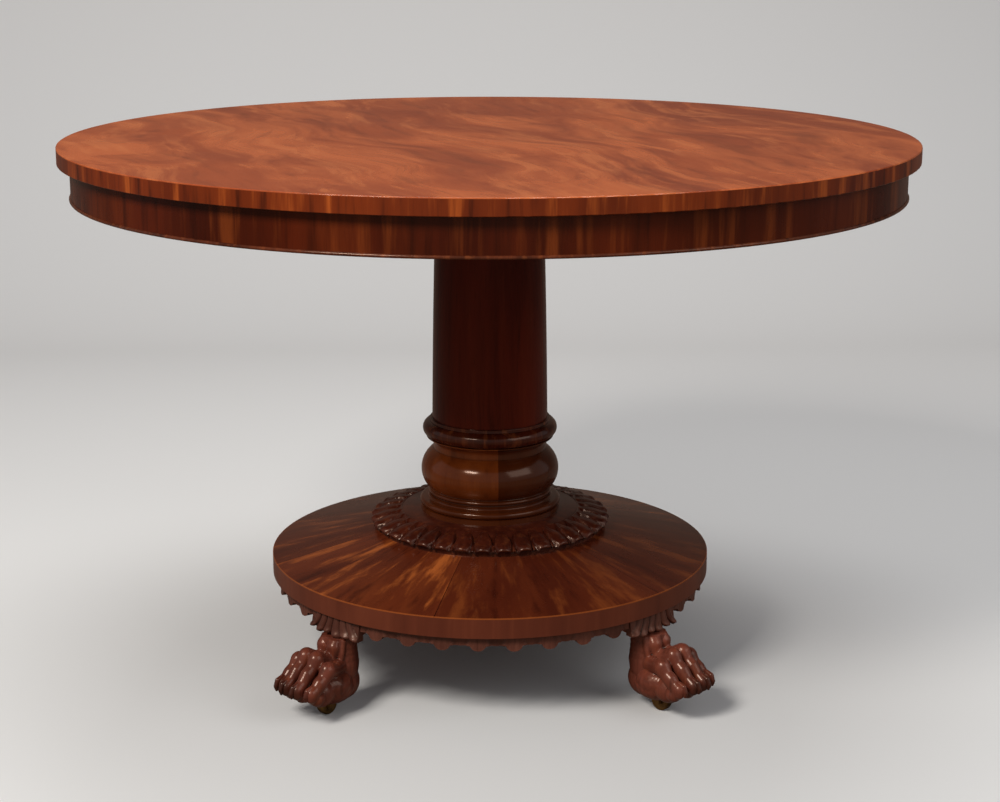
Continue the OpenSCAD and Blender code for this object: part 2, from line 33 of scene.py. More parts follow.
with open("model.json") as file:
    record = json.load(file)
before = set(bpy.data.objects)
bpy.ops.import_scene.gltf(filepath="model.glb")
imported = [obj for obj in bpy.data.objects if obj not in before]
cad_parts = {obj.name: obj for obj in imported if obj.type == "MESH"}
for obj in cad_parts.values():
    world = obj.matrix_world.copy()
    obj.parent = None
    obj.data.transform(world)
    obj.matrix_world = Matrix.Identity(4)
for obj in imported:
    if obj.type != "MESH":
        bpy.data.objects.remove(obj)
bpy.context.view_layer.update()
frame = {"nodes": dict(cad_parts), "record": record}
nodes = frame["nodes"]
feet = (1, 2, 3, 4)
mm = 0.001
print("frame loaded:", len(nodes), "nodes")


def addNode(tree, kind, inputs=None, **settings):
    made = tree.nodes.new("ShaderNode" + kind)
    for key, value in settings.items():
        setattr(made, key, value)
    for key, value in (inputs or {}).items():
        if isinstance(value, bpy.types.NodeSocket):
            tree.links.new(value, made.inputs[key])
        else:
            made.inputs[key].default_value = value
    return made


def calc(tree, operation, *values):
    return addNode(tree, "Math", dict(enumerate(values)), operation=operation).outputs[0]


def stretch(tree, vector, scale):
    return addNode(tree, "VectorMath", {0: vector, 1: scale}, operation="MULTIPLY").outputs[0]


def cloud(tree, vector, scale, detail=3.0, rough=0.55, distortion=0.0):
    made = addNode(tree, "TexNoise", {"Vector": vector, "Scale": scale, "Detail": detail},
                   noise_dimensions="3D")
    made.inputs["Roughness"].default_value = rough
    made.inputs["Distortion"].default_value = distortion
    return made.outputs["Fac"]


def ramp(tree, factor, low, high):
    made = addNode(tree, "MapRange", {"Value": factor, "From Min": low, "From Max": high},
                   interpolation_type="SMOOTHSTEP")
    return made.outputs["Result"]


def blendColour(tree, factor, first, second, mode="MIX"):
    made = addNode(tree, "Mix", {0: factor}, data_type="RGBA", blend_type=mode)
    for index, colour in ((6, first), (7, second)):
        if isinstance(colour, bpy.types.NodeSocket):
            tree.links.new(colour, made.inputs[index])
        else:
            made.inputs[index].default_value = (*colour, 1)
    return made.outputs[2]


def newMaterial(name):
    material = bpy.data.materials.new(name)
    material.use_nodes = True
    tree = material.node_tree
    shader = tree.nodes["Principled BSDF"]
    place = addNode(tree, "TexCoord").outputs["Object"]
    return material, tree, shader, place


grainArc = dict(upright=0.57, radial=0.24)  # radius at which the grain keeps its true scale


# Grain spaces: the first number runs along the grain
def grainSpace(tree, place, kind, turn):
    if kind == "flat":
        turned = addNode(tree, "Mapping", {"Vector": place, "Rotation": (0, 0, turn)}).outputs[0]
        return turned, None, None
    parts = addNode(tree, "SeparateXYZ", {0: place}).outputs
    if kind == "pole":
        joined = addNode(tree, "CombineXYZ", {0: parts[2], 1: parts[0], 2: parts[1]}).outputs[0]
        return joined, None, None
    back = calc(tree, "MULTIPLY", parts[1], -1.0)
    angle = calc(tree, "ARCTAN2", parts[0], back)  # nought at the front, its seam at the back
    across = calc(tree, "MULTIPLY", parts[0], parts[0])
    square = calc(tree, "ADD", across, calc(tree, "MULTIPLY", parts[1], parts[1]))
    radius = calc(tree, "SQRT", square)
    run = calc(tree, "MULTIPLY", angle, grainArc[kind])
    along, off = (parts[2], radius) if kind == "upright" else (radius, parts[2])
    return addNode(tree, "CombineXYZ", {0: along, 1: run, 2: off}).outputs[0], angle, radius


def wanderingGrain(tree, grain, s):
    bend, reach = s["bend"], s["wander"]
    slow = stretch(tree, grain, (bend, bend, bend))
    warp = addNode(tree, "TexNoise", {"Vector": slow, "Scale": 1.0, "Detail": 2.0}).outputs["Color"]
    middle = (0.5, 0.5, 0.5)
    shifted = addNode(tree, "VectorMath", {0: warp, 1: middle}, operation="SUBTRACT").outputs[0]
    wave = stretch(tree, shifted, (reach, reach, reach))
    return addNode(tree, "VectorMath", {0: grain, 1: wave}, operation="ADD").outputs[0]


# Each veneer leaf is cut from another part of the sheet, and plain leaves lie beside streaked ones
def veneerLeaves(tree, angle, s):
    share = calc(tree, "DIVIDE", calc(tree, "ADD", angle, s["segmentStart"]), 2 * math.pi / s["segments"])
    leaf = calc(tree, "FLOOR", share)
    along, up = (calc(tree, "MULTIPLY", leaf, shift) for shift in s["leafShift"])
    jump = addNode(tree, "CombineXYZ", {0: along, 2: up}).outputs[0]
    turn = calc(tree, "SINE", calc(tree, "ADD", calc(tree, "MULTIPLY", leaf, s["toneTurn"]), s["toneStart"]))
    tone = calc(tree, "MULTIPLY", calc(tree, "ADD", turn, 1.0), 0.5)
    return share, jump, tone


# Per-leaf tone and dark joints of the veneer, and a painted highlight along the outer arris
def veneerJointsAndArrisHighlight(tree, body, share, tone, radius, s):
    body = blendColour(tree, calc(tree, "MULTIPLY", tone, s["toneShade"]), body, s["deep"])
    edge = calc(tree, "ABSOLUTE", calc(tree, "SUBTRACT", calc(tree, "FRACT", share), 0.5))
    body = blendColour(tree, ramp(tree, edge, *s["joint"]), body, s["deep"])
    # Painted highlight: a thin bright ring of the glow colour along the platform's outer arris
    arrisHighlight = calc(tree, "MULTIPLY", ramp(tree, radius, s["arrisHighlightR"], s["arrisHighlightR"] + mm), s["arrisHighlightShare"])
    return blendColour(tree, arrisHighlight, body, s["glow"])


# Painted shade darkens the hollows of the carving, and real wear lightens its rubbed ridges
def hollowShadeAndWear(tree, body, s):
    hollow = addNode(tree, "NewGeometry").outputs["Pointiness"]
    # Painted shade: the hollows blend towards the deep colour
    hollowShade = calc(tree, "MULTIPLY", ramp(tree, hollow, *steps["hollow"]), s["hollowShade"])
    body = blendColour(tree, hollowShade, body, s["deep"])
    worn = calc(tree, "MULTIPLY", ramp(tree, hollow, *steps["worn"]), s["worn"])
    return blendColour(tree, worn, body, s["glow"])


# Glued up from two planks, one darker, and painted shade darkens the lower mouldings at the foot
def plankToneAndFootShade(tree, body, place, s):
    parts = addNode(tree, "SeparateXYZ", {0: place}).outputs
    plank = calc(tree, "MULTIPLY", ramp(tree, parts[0], s["halfX"], s["halfX"] + mm), s["plankShare"])
    # Painted shade: the mouldings below the bulb darken towards the deep colour
    foot = calc(tree, "MULTIPLY", ramp(tree, parts[2], s["lowZ"] + s["footFade"], s["lowZ"]), s["footShadeShare"])
    return blendColour(tree, calc(tree, "MAXIMUM", plank, foot), body, s["deep"])


# Painted shade: the toes darken towards their claws
def toeTipShade(tree, body, place, s):
    parts = addNode(tree, "SeparateXYZ", {0: place}).outputs
    out = addNode(tree, "CombineXYZ", {0: parts[0], 1: parts[1]}).outputs[0]
    reach = addNode(tree, "VectorMath", {0: out}, operation="LENGTH").outputs["Value"]
    # Painted shade on the toe tips and claws, beyond this reach from the column
    tipShade = calc(tree, "MULTIPLY", ramp(tree, reach, s["tipR"], s["tipR"] + s["tipFade"]), s["tipShadeShare"])
    return blendColour(tree, tipShade, body, s["deep"])


def polishedWood(name, s):
    material, tree, shader, place = newMaterial(name)
    grain, angle, radius = grainSpace(tree, place, s["grain"], s["turn"])
    grain = wanderingGrain(tree, grain, s)
    if "segments" in s:
        share, jump, tone = veneerLeaves(tree, angle, s)
        grain = addNode(tree, "VectorMath", {0: grain, 1: jump}, operation="ADD").outputs[0]
    broad = cloud(tree, stretch(tree, grain, (1 / s["long"], 1, 1)), s["broad"], 3.0, 0.6, 0.4)
    thin = stretch(tree, grain, (1 / (s["long"] * s["narrowLong"]), 1, 1))
    narrow = cloud(tree, thin, s["broad"] * s["narrowFine"], 4.0, 0.6, 0.1)
    fine = cloud(tree, stretch(tree, grain, (1 / s["poreLong"], 1, 1)), s["fine"], 2.0, 0.6)
    figure = cloud(tree, stretch(tree, grain, (1 / s["figureLong"], 1, 1)), s["figure"], 5.0, 0.62, s["curl"])
    body = blendColour(tree, ramp(tree, broad, *steps["body"]), s["dark"], s["mid"])
    body = blendColour(tree, ramp(tree, figure, s["figureLow"], s["figureHigh"]), body, s["light"])
    streak = calc(tree, "MULTIPLY", ramp(tree, narrow, *steps["streak"]), s["streaks"])
    if "segments" in s:
        kept = calc(tree, "SUBTRACT", 1.0, calc(tree, "MULTIPLY", tone, s["plainShare"]))
        streak = calc(tree, "MULTIPLY", streak, kept)
    body = blendColour(tree, streak, body, s["glow"])
    shade = calc(tree, "MULTIPLY", ramp(tree, narrow, *steps["shade"]), s["shadows"])
    body = blendColour(tree, shade, body, s["deep"])
    hairs = calc(tree, "MULTIPLY", ramp(tree, fine, *steps["hair"]), s["pores"])
    body = blendColour(tree, hairs, body, s["deep"])
    if "segments" in s:
        body = veneerJointsAndArrisHighlight(tree, body, share, tone, radius, s)
    if "hollowShade" in s:
        body = hollowShadeAndWear(tree, body, s)
    if "halfX" in s:
        body = plankToneAndFootShade(tree, body, place, s)
    if "tipR" in s:
        body = toeTipShade(tree, body, place, s)
    tree.links.new(body, shader.inputs["Base Color"])
    smear = cloud(tree, place, s["smear"], 4.0, 0.6)
    smooth, dull = (s["rough"] * spread for spread in s["glossSpread"])
    gloss = addNode(tree, "MapRange", {"Value": smear, "To Min": smooth, "To Max": dull})
    tree.links.new(gloss.outputs["Result"], shader.inputs["Roughness"])
    pits = calc(tree, "MULTIPLY", fine, s["pits"])
    relief = calc(tree, "ADD", pits, calc(tree, "MULTIPLY", smear, s["waves"]))
    bump = addNode(tree, "Bump", {"Strength": s["bump"], "Distance": s["bumpDeep"], "Height": relief})
    tree.links.new(bump.outputs[0], shader.inputs["Normal"])
    shader.inputs["Coat Weight"].default_value = s["coat"]
    shader.inputs["Coat Roughness"].default_value = s["coatRough"]
    shader.inputs["Specular IOR Level"].default_value = s["shine"]
    shader.inputs["Specular Tint"].default_value = (*s["tint"], 1)
    return material


def agedBrass(name, s):
    material, tree, shader, place = newMaterial(name)
    tarnish = cloud(tree, place, s["patch"], 5.0, 0.65)
    scratch = cloud(tree, stretch(tree, place, (1, 1, s["scratchThin"])), s["scratch"], 2.0)
    colour = blendColour(tree, ramp(tree, tarnish, *steps["tarnish"]), s["bright"], s["brown"])
    hollow = addNode(tree, "NewGeometry").outputs["Pointiness"]
    colour = blendColour(tree, ramp(tree, hollow, *steps["dirt"]), colour, s["dirt"])
    tree.links.new(colour, shader.inputs["Base Color"])
    smooth, dull = (s["rough"] * spread for spread in s["glossSpread"])
    gloss = addNode(tree, "MapRange", {"Value": scratch, "To Min": smooth, "To Max": dull})
    tree.links.new(gloss.outputs["Result"], shader.inputs["Roughness"])
    bump = addNode(tree, "Bump", {"Strength": s["bump"], "Distance": s["bumpDeep"], "Height": scratch})
    tree.links.new(bump.outputs[0], shader.inputs["Normal"])
    shader.inputs["Metallic"].default_value = 1.0
    return material


# Where each softened step between two colours begins and ends
steps = dict(body=(0.34, 0.66), streak=(0.5, 0.7), shade=(0.46, 0.28), hair=(0.55, 0.72), hollow=(0.5, 0.42),
             worn=(0.53, 0.6), tarnish=(0.38, 0.68), dirt=(0.5, 0.44))
plainFigure = dict(figure=3.0, figureLong=3.0, figureLow=0.5, figureHigh=0.8, curl=0.6, bend=2.0, wander=0.03,
                   turn=0.0, narrowLong=2.2, narrowFine=4.6, poreLong=28)
polish = dict(smear=9.0, glossSpread=(0.8, 1.25), pits=-0.4, waves=0.6, bumpDeep=0.0006)
mahogany = dict(plainFigure, **polish, grain="pole", long=9.0, broad=22.0, fine=900.0, streaks=0.35,
                shadows=0.5, pores=0.3, rough=0.28, bump=0.06, coat=0.06, coatRough=0.1, shine=0.42,
                tint=(1.0, 0.66, 0.48), deep=(0.018, 0.004, 0.002), dark=(0.055, 0.012, 0.005),
                mid=(0.11, 0.024, 0.009), light=(0.17, 0.04, 0.013), glow=(0.33, 0.085, 0.022))

# In the carved finishes, the hollows are darkened with painted shade
finishes = {
    "flameVeneer": dict(mahogany, grain="flat", turn=1.3, long=6.0, broad=6.0, figure=5.0, figureLong=3.2,
                        curl=1.5, figureLow=0.42, figureHigh=0.66, bend=2.6, wander=0.22, streaks=0.5,
                        shadows=0.4, pores=0.12, rough=0.24, coat=0.08, coatRough=0.07, bump=0.02,
                        shine=0.34, deep=(0.13, 0.021, 0.006), dark=(0.26, 0.043, 0.012),
                        mid=(0.36, 0.068, 0.018), light=(0.52, 0.118, 0.033), glow=(0.66, 0.185, 0.056)),
    "crossBanding": dict(mahogany, grain="upright", long=6.0, broad=11.0, figure=7.0, figureLong=4.0,
                         curl=0.1, wander=0.006, streaks=0.7, shadows=0.8, pores=0.2, rough=0.3,
                         deep=(0.03, 0.0035, 0.001), dark=(0.1, 0.012, 0.002), mid=(0.19, 0.027, 0.004),
                         light=(0.27, 0.045, 0.007), glow=(0.48, 0.1, 0.016)),
    "friezeVeneer": dict(mahogany, grain="upright", long=6.0, broad=8.0, figure=6.0, figureLong=4.0,
                         curl=0.1, wander=0.008, streaks=0.42, shadows=0.6, pores=0.25, rough=0.26,
                         deep=(0.012, 0.0015, 0.0006), dark=(0.042, 0.0048, 0.0012),
                         mid=(0.085, 0.0105, 0.0022), light=(0.13, 0.02, 0.004), glow=(0.3, 0.062, 0.011),
                         shine=0.3),
    "beadMahogany": dict(mahogany, grain="upright", rough=0.2),
    "columnMahogany": dict(mahogany, streaks=0.2, shadows=0.4, rough=0.24, coat=0.03, coatRough=0.06,
                           shine=0.22, tint=(1.0, 0.5, 0.36), deep=(0.012, 0.002, 0.001),
                           dark=(0.07, 0.0064, 0.0023), mid=(0.115, 0.011, 0.0036),
                           light=(0.085, 0.012, 0.004), glow=(0.14, 0.024, 0.007)),
    "collarMahogany": dict(mahogany, rough=0.2, coat=0.15, coatRough=0.07, dark=(0.04, 0.005, 0.002),
                           mid=(0.08, 0.011, 0.004)),
    "bulbMahogany": dict(mahogany, halfX=0.0085, plankShare=0.78, lowZ=0.247, footFade=0.008, footShadeShare=0.68,
                         hollowShade=0.85, worn=0.1, rough=0.18, coat=0.12, coatRough=0.06, streaks=0.18,
                         shadows=0.45, broad=9.0, deep=(0.035, 0.006, 0.0015), dark=(0.11, 0.02, 0.003),
                         mid=(0.22, 0.044, 0.007), light=(0.3, 0.068, 0.011), glow=(0.4, 0.1, 0.018)),
    "leafMahogany": dict(mahogany, rough=0.3, coat=0.12, coatRough=0.12, hollowShade=0.9, worn=0.08, bump=0.05,
                         streaks=0.15, deep=(0.012, 0.002, 0.001), dark=(0.038, 0.006, 0.003),
                         mid=(0.065, 0.0105, 0.0045), light=(0.1, 0.018, 0.007)),
    "borderMahogany": dict(mahogany, rough=0.38, coat=0.1, coatRough=0.2, hollowShade=0.95, worn=0.25, bump=0.08,
                           deep=(0.022, 0.007, 0.005), dark=(0.076, 0.023, 0.015), mid=(0.122, 0.038, 0.024),
                           light=(0.12, 0.041, 0.024), glow=(0.17, 0.062, 0.038)),
    "pawMahogany": dict(mahogany, tipR=0.3755, tipFade=0.009, tipShadeShare=0.75, rough=0.3, coat=0.22,
                        coatRough=0.14, hollowShade=0.95, worn=0.1, bump=0.04, streaks=0.2,
                        deep=(0.02, 0.005, 0.003), dark=(0.1, 0.022, 0.012), mid=(0.18, 0.044, 0.026),
                        light=(0.25, 0.066, 0.038), glow=(0.34, 0.08, 0.025)),
    # The platform veneer carries a painted highlight ring along its outer arris
    "platformVeneer": dict(mahogany, grain="radial", long=16.0, broad=9.0, figure=5.0, figureLong=9.0,
                           curl=0.3, figureLow=0.5, figureHigh=0.78, bend=3.0, wander=0.016, streaks=0.9,
                           shadows=0.75, pores=0.12, rough=0.26, bump=0.02, segments=6, segmentStart=0.262,
                           leafShift=(0.37, 3.1), toneTurn=1.9, toneStart=0.6, toneShade=0.28,
                           plainShare=0.8, joint=(0.4965, 0.4995), arrisHighlightR=0.3062, arrisHighlightShare=0.55,
                           deep=(0.04, 0.006, 0.003), dark=(0.08, 0.013, 0.005), mid=(0.145, 0.026, 0.008),
                           light=(0.22, 0.046, 0.012), glow=(0.46, 0.115, 0.024)),
    "platformBanding": dict(mahogany, grain="upright", long=6.0, broad=7.0, streaks=0.2, shadows=0.3,
                            rough=0.34, deep=(0.055, 0.01, 0.005), dark=(0.1, 0.021, 0.01),
                            mid=(0.14, 0.031, 0.014), light=(0.18, 0.043, 0.019), glow=(0.25, 0.065, 0.028)),
    "carcaseWood": dict(mahogany, grain="flat", turn=1.57, long=8.0, broad=12.0, streaks=0.3, shadows=0.4,
                        pores=0.5, rough=0.62, coat=0.0, bump=0.2, deep=(0.05, 0.022, 0.011),
                        dark=(0.12, 0.055, 0.027), mid=(0.19, 0.092, 0.045), light=(0.25, 0.13, 0.065),
                        glow=(0.31, 0.17, 0.09)),
    "wedgeWood": dict(mahogany, grain="pole", rough=0.6, coat=0.0, bump=0.2, deep=(0.12, 0.06, 0.03),
                      dark=(0.3, 0.17, 0.08), mid=(0.4, 0.24, 0.12), light=(0.46, 0.29, 0.15),
                      glow=(0.52, 0.34, 0.19)),
}
plainMetal = dict(scratchThin=9, glossSpread=(0.7, 1.5), bump=0.25, bumpDeep=0.0003)
brasses = {
    "brass": dict(plainMetal, patch=60.0, scratch=420.0, rough=0.36, bright=(0.38, 0.23, 0.08),
                  brown=(0.13, 0.075, 0.03), dirt=(0.05, 0.03, 0.015)),
    "iron": dict(plainMetal, patch=80.0, scratch=500.0, rough=0.5, bright=(0.2, 0.18, 0.16),
                 brown=(0.1, 0.07, 0.05), dirt=(0.03, 0.02, 0.015)),
}
woods = {name: polishedWood(name, settings) for name, settings in finishes.items()}
metals = {name: agedBrass(name, settings) for name, settings in brasses.items()}
slotFinish = {
    "flame_veneer": woods["flameVeneer"], "cross_banding": woods["crossBanding"],
    "frieze_veneer": woods["friezeVeneer"], "turned_mahogany": woods["beadMahogany"],
    "column_mahogany": woods["columnMahogany"], "bulb_mahogany": woods["bulbMahogany"],
    "carved_mahogany": woods["leafMahogany"], "border_mahogany": woods["borderMahogany"],
    "platform_veneer": woods["platformVeneer"], "platform_banding": woods["platformBanding"],
    "carcase_wood": woods["carcaseWood"], "wedge_wood": woods["wedgeWood"],
    "brass": metals["brass"], "iron": metals["iron"],
}
for part in frame["record"]["subparts"]:
    held = nodes[part["node"]]
    held.data.materials.clear()
    held.data.materials.append(slotFinish[part["material_slot"]])
print("finishes made:", len(woods) + len(metals))


def arc(centreR, centreZ, radius, start, end, count):
    turns = [math.radians(start + (end - start) * i / count) for i in range(count + 1)]
    return [(centreR + radius * math.cos(t), centreZ + radius * math.sin(t)) for t in turns]


def spinOutline(outline, steps, start=0.0, sweep=360.0, closed=False):
    bm = bmesh.new()
    turn = math.radians(start)
    chain = [bm.verts.new((r * mm * math.cos(turn), r * mm * math.sin(turn), z * mm)) for r, z in outline]
    edges = [bm.edges.new(pair) for pair in zip(chain, chain[1:])]
    if closed:
        edges.append(bm.edges.new((chain[-1], chain[0])))
    bmesh.ops.spin(bm, geom=chain + edges, cent=(0, 0, 0), axis=(0, 0, 1), dvec=(0, 0, 0),
                   angle=math.radians(sweep), steps=steps, use_merge=sweep == 360.0)
    bmesh.ops.remove_doubles(bm, verts=bm.verts, dist=0.000002)
    if sweep < 360.0:
        bmesh.ops.holes_fill(bm, edges=[edge for edge in bm.edges if edge.is_boundary], sides=0)
    bmesh.ops.recalc_face_normals(bm, faces=bm.faces)
    return bm


def carve(bm, shape):
    for vert in bm.verts:
        x, y, z = vert.co
        turn, r, z = shape(math.degrees(math.atan2(y, x)), math.hypot(x, y) / mm, z / mm)
        turn = math.radians(turn)
        vert.co = (r * mm * math.cos(turn), r * mm * math.sin(turn), z * mm)


def finishPiece(name, bm, finish, body, replaced, sharp=35.0):
    mesh = bpy.data.meshes.new(name)
    bm.to_mesh(mesh)
    bm.free()
    mesh.shade_smooth()
    mesh.set_sharp_from_angle(angle=math.radians(sharp))
    piece = bpy.data.objects.new(name, mesh)
    bpy.context.scene.collection.objects.link(piece)
    mesh.materials.append(finish)
    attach(piece, body)
    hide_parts(*replaced)
    return piece


def heights(node):
    low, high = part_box(node)
    return low.z / mm, high.z / mm


column = dict(tenonR=30.0, journalR=70.0, footR=80.6, headR=73.5, glue=0.05, swell=0.9, rows=24)
collar = dict(outR=94.0, torusR=11.0, filletR=84.0, filletRise=0.6, round=0.8, seat=0.4)
# Each moulding is its centre's radius, its centre's height over the disc, and its own radius
base = dict(bulbR=96.4, bulbArc=36.0, bulbRise=57.4, neckR=79.4, neckRise=32.6, hollow=10.5, plinthR=97.5,
            plinthRise=6.6, torus=(93.8, 12.4, 5.0), torusTop=(88.6, 17.6), scotia=(88.6, 20.2, 2.6),
            fillets=((86.3, 20.6), (86.5, 22.4), (84.2, 22.9), (84.0, 24.2)), astragal=(83.6, 27.0, 3.0),
            cove=(86.6, 32.2, 2.6))

shaftLow, shaftTop = heights("column_shaft")
blockLow, blockTop = heights("block")
collarLow, collarTop = heights("collar_ring")
discLow, discTop = heights("leaf_disc")


def columnShaft(s):
    foot, head = collarTop + s["glue"], blockLow - s["glue"]
    rise = head - foot
    flank = []
    for i in range(s["rows"] + 1):
        share = i / s["rows"]
        taper = s["footR"] + (s["headR"] - s["footR"]) * share
        flank.append((taper + s["swell"] * math.sin(math.pi * share), foot + rise * share))
    outline = [(0, shaftLow), (s["tenonR"], shaftLow), (s["tenonR"], collarLow), (s["journalR"], collarLow),
               (s["journalR"], foot), (s["footR"] - 1, foot)] + flank
    outline += [(s["tenonR"], head), (s["tenonR"], shaftTop), (0, shaftTop)]
    return finishPiece("columnShaft", spinOutline(outline, 128), woods["columnMahogany"],
                       "root", ["column_shaft"])


def collarRing(s):
    bore = column["journalR"] + column["glue"]
    midZ = collarLow + s["torusR"]
    outline = [(bore, collarLow + s["seat"]), (s["outR"] - s["torusR"] - 2, collarLow + s["seat"])]
    outline += arc(s["outR"] - s["torusR"], midZ, s["torusR"], -86, 84, 22)
    outline += [(s["filletR"], midZ + s["torusR"] + s["filletRise"])]
    outline += arc(s["filletR"] - s["round"], collarTop - s["round"], s["round"], 0, 90, 5)
    outline += [(bore, collarTop)]
    return finishPiece("collarRing", spinOutline(outline, 144, closed=True), woods["collarMahogany"],
                       "root", ["collar_ring"])


# Plinth, torus, hollow, fillet, astragal, bulb and neck, from the disc up
def columnBase(s):
    z = discTop
    bore = column["tenonR"] + column["glue"]
    bulbR, bulbZ = s["bulbR"] - s["bulbArc"], z + s["bulbRise"]

    def moulding(place, start, end, count):
        r, rise, size = place
        return arc(r, z + rise, size, start, end, count)

    outline = [(bore, z), (s["plinthR"], z), (s["plinthR"], z + s["plinthRise"])]
    outline += moulding(s["torus"], -80, 88, 16)
    outline += [(s["torusTop"][0], z + s["torusTop"][1])]
    outline += moulding(s["scotia"], -92, -180, 6)[1:]
    outline += [(r, z + rise) for r, rise in s["fillets"]]
    outline += moulding(s["astragal"], -66, 78, 12)
    outline += moulding(s["cove"], -130, -180, 4)
    reach = math.degrees(math.acos((s["neckR"] - bulbR) / s["bulbArc"]))
    outline += arc(bulbR, bulbZ, s["bulbArc"], -44, reach, 34)
    top = collarLow
    outline += [(s["neckR"], bulbZ + s["neckRise"]), (s["neckR"], top - s["hollow"] - 1.5)]
    outline += arc(s["neckR"] + s["hollow"], top - s["hollow"] - 1.0, s["hollow"], 180, 96, 12)
    outline += [(s["neckR"] + s["hollow"] - 1, top), (bore, top)]
    return finishPiece("columnBase", spinOutline(outline, 160, closed=True), woods["bulbMahogany"],
                       "root", ["column_base"])


columnShaft(column)
collarRing(collar)
columnBase(base)
print("column turned")


leafDisc = dict(count=36, perLeaf=24, rows=26, flatR=125.0, rimR=168.7, stepR=160.0, stepRise=8.4, rimRise=3.4,
                stem=0.12, spread=0.29, widest=0.62, narrow=0.13, valley=4.2, bulge=3.0, rim=0.9, rimWide=0.09,
                vein=0.8, veinWide=0.03, gapWide=0.14, behind=3.6, behindFrom=0.55, tipPull=4.6, tipVary=1.2,
                curl=1.8)


def ridge(place, middle, width):
    return math.exp(-((place - middle) / width) ** 2)


def carvedDisc(s):
    bore = column["tenonR"] + column["glue"]
    stepTop = discLow + s["stepRise"]
    rimZ = stepTop + s["rimRise"]
    span = s["rimR"] - s["flatR"]
    outline = [(bore, discLow), (s["stepR"], discLow), (s["stepR"], stepTop - 0.6), (s["stepR"] + 1.4, stepTop)]
    outline += [(s["rimR"] - 3.5, stepTop), (s["rimR"] - 1.2, stepTop + 0.9), (s["rimR"] - 0.2, stepTop + 2.0)]
    for i in range(s["rows"] + 1):
        share = i / s["rows"]
        drop = (discTop - rimZ) * (1 - math.cos(0.5 * math.pi * (1 - share) ** 1.15))
        outline.append((s["rimR"] - span * share, discTop - drop))
    outline += [(s["flatR"] - 1.2, discTop - 0.7), (s["flatR"] - 2.4, discTop), (bore, discTop)]
    bm = spinOutline(outline, s["count"] * s["perLeaf"], closed=True)
    pitch = 360 / s["count"]

    def leaf(turn, r, z):
        if r < s["flatR"] - 1 or z < stepTop - 0.2:
            return turn, r, z
        v = (r - s["flatR"]) / span
        number = math.floor(turn / pitch)
        own = noise.noise(Vector((number * 1.7, 0.3, 4.1)))
        u = (turn / pitch) % 1.0 - 0.5 + 0.05 * own * v
        growth = math.sin(0.5 * math.pi * min(1.0, v / s["widest"]))
        wide = s["stem"] + (s["spread"] + 0.04 * own) * growth
        wide -= s["narrow"] * max(0.0, (v - s["widest"]) / (1 - s["widest"])) ** 2
        side = abs(u) / wide
        fade = min(1.0, v / 0.2)
        if side < 1:  # a plump leaf inside a thin raised edge
            lift = s["bulge"] * (1 - side ** 2) * (0.1 + 0.9 * v) - 0.5
            lift -= s["vein"] * ridge(u, 0, s["veinWide"]) * max(0.0, 0.8 - v)
        else:
            lift = -s["valley"] * min(1.0, (side - 1) / s["gapWide"])
            gap = abs(abs(u) - 0.5) / 0.09
            if gap < 1 and v > s["behindFrom"]:  # curled tip of the leaf behind
                lift += s["behind"] * (1 - gap ** 2) * min(1.0, (v - s["behindFrom"]) / 0.25)
        lift += s["rim"] * ridge(side, 0.93, s["rimWide"])
        pull = s["tipPull"] * min(1.0, abs(2 * u)) ** 2.6 * max(0.0, (v - 0.5) / 0.5) ** 2
        pull += s["tipVary"] * (0.5 + own) * max(0.0, (v - 0.7) / 0.3)
        curl = s["curl"] * ridge(v, 0.9, 0.09) * max(0.0, 1 - side ** 4)
        low = 0.35 if z < rimZ - 0.5 else 1.0
        newZ = z + (lift - 0.3 * s["valley"]) * fade * low + curl
        return turn, min(r - pull + 0.2 * lift * v, s["rimR"]), min(newZ, discTop)

    carve(bm, leaf)
    bmesh.ops.recalc_face_normals(bm, faces=bm.faces)
    return finishPiece("leafDisc", bm, woods["leafMahogany"], "root", ["leaf_disc"], 60.0)


carvedDisc(leafDisc)
print("leaf disc carved")


border = dict(outR=300.0, thick=14.0, count=8, half=8.7, perLeaf=30, rows=12, valley=13.0, drop=8.0,
              pendantR=10.6, relief=1.9, setBack=1.2, vein=0.7, veinWide=0.025, fold=0.5, foldWide=0.1,
              edge=0.6, edgeWide=0.12, nicks=0.5, floor=0.1)
bracket = dict(outR=308.0, inR=292.0, half=8.6, steps=150, rows=22, groove=4.4, lobeDrop=3.2, vein=0.9,
               veinWide=0.09, curl=2.6, curlAt=0.84, curlWide=0.11, hollow=3.0, tuck=2.6, setBack=1.4,
               edges=(-1.0, -0.66, -0.3, 0.02, 0.36, 0.7, 1.0), drops=(4.2, 0.8, 3.4, 0.0, 2.6, 1.2))


